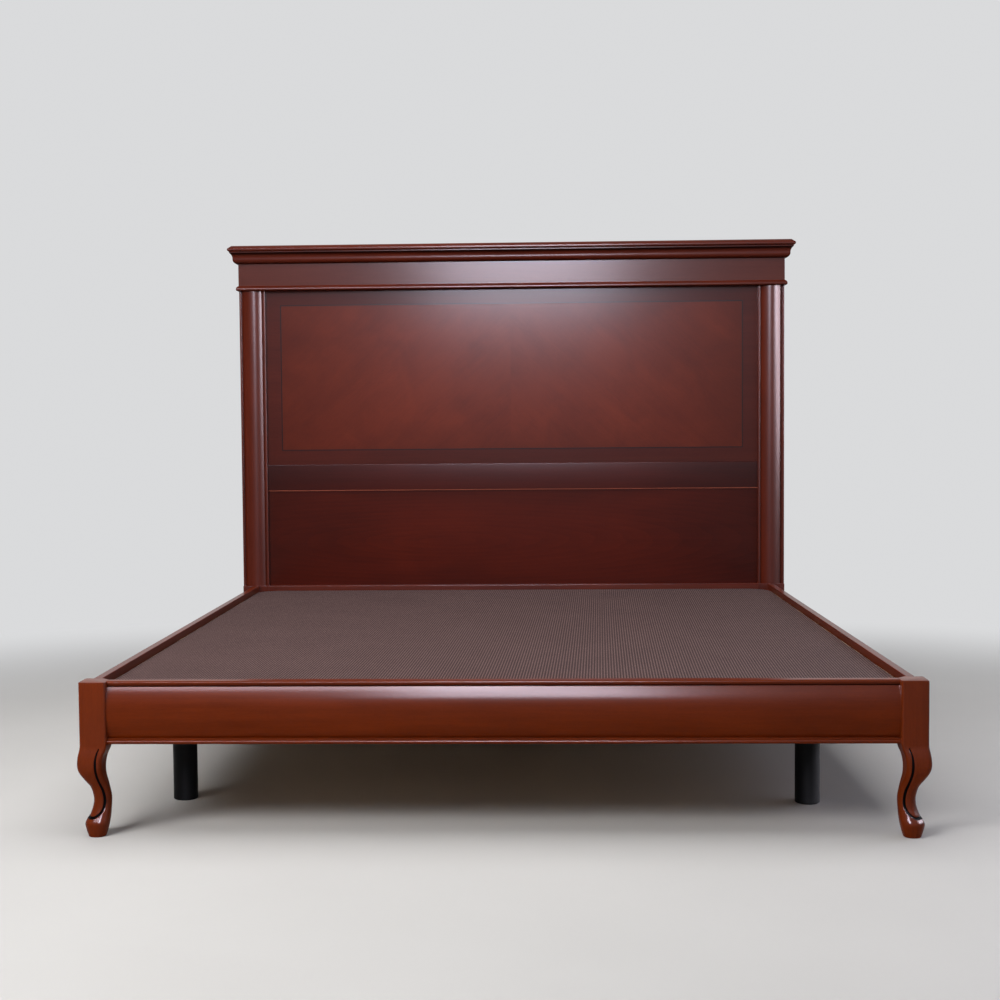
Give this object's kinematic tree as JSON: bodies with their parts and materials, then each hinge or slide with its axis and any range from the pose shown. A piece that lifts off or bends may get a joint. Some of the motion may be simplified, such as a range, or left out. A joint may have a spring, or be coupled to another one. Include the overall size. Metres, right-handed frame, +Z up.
{
  "type": "double bed frame",
  "caption": "Classic double bed with a panelled and corniced headboard, cabriole front legs, a moulded foot rail and a fabric-covered lift-out platform.",
  "frame": {"origin": "on the floor, in the middle of the bed's whole width and whole length", "axes": "+Z up from the floor; +Y along the bed from the foot rail to the headboard; +X to the right seen from the foot end"},
  "size_m": [2.002, 2.1245, 1.569],
  "materials": {
    "headboard_mahogany": "satin lacquered mahogany, reddish brown",
    "panel_veneer": "satin lacquered figured mahogany veneer",
    "banding": "satin lacquered dark banding with grain across the strip",
    "ebony_line": "black inlaid line under satin lacquer",
    "foot_mahogany": "satin lacquered mahogany, grain along the rail",
    "leg_mahogany": "satin lacquered mahogany with a black scrolled line",
    "rail_mahogany": "satin lacquered mahogany, grain along the rail",
    "panel_board": "raw fibreboard",
    "raw_pine": "planed pine, no finish",
    "plywood": "raw plywood",
    "cover_fabric": "taupe non-slip fabric with fine raised dots in rows",
    "black_legs": "satin black",
    "zinc_steel": "zinc plated"
  },
  "bodies": {
    "frame": {"cornice_cap": "headboard_mahogany", "crown_front": "headboard_mahogany", "crown_left_return": "headboard_mahogany", "crown_right_return": "headboard_mahogany", "frieze_board": "headboard_mahogany", "frieze_bead_front": "headboard_mahogany", "frieze_bead_left_return": "headboard_mahogany", "frieze_bead_right_return": "headboard_mahogany", "top_rail": "raw_pine", "left_stile": "headboard_mahogany", "right_stile": "headboard_mahogany", "left_plinth": "headboard_mahogany", "right_plinth": "headboard_mahogany", "left_pilaster": "headboard_mahogany", "right_pilaster": "headboard_mahogany", "upper_panel": "panel_board", "left_veneer_leaf": "panel_veneer", "right_veneer_leaf": "panel_veneer", "inlaid_line": "ebony_line", "banding": "banding", "mid_rail": "headboard_mahogany", "lower_panel": "panel_board", "lower_veneer": "panel_veneer", "bottom_rail": "rail_mahogany", "headboard_dowels": "raw_pine", "left_side_rail": "rail_mahogany", "right_side_rail": "rail_mahogany", "foot_board": "foot_mahogany", "foot_moulded_face": "foot_mahogany", "foot_top_bead": "foot_mahogany", "foot_low_bead": "foot_mahogany", "foot_dowels": "raw_pine", "left_cabriole_leg": "leg_mahogany", "right_cabriole_leg": "leg_mahogany", "left_ledger": "raw_pine", "right_ledger": "raw_pine", "foot_ledger": "raw_pine", "head_ledger": "raw_pine", "ledger_screws": "zinc_steel", "rail_hook_plates": "zinc_steel", "post_slot_plates": "zinc_steel", "fitting_screws": "zinc_steel"},
    "platform": {"fabric_cover": "cover_fabric", "left_deck_board": "plywood", "right_deck_board": "plywood", "platform_side_battens": "raw_pine", "platform_end_battens": "raw_pine", "platform_corner_blocks": "raw_pine", "platform_bearers": "raw_pine", "platform_stringers": "raw_pine", "support_plates": "zinc_steel", "plate_screws": "zinc_steel", "front_left_support_leg": "black_legs", "front_right_support_leg": "black_legs", "rear_left_support_leg": "black_legs", "rear_right_support_leg": "black_legs", "centre_support_leg": "black_legs"}
  },
  "joints": [
    {"name": "platform_lift", "type": "slide", "parent": "frame", "child": "platform", "axis": [0, 0, 1], "range_m": [0, 0.35]}
  ]
}
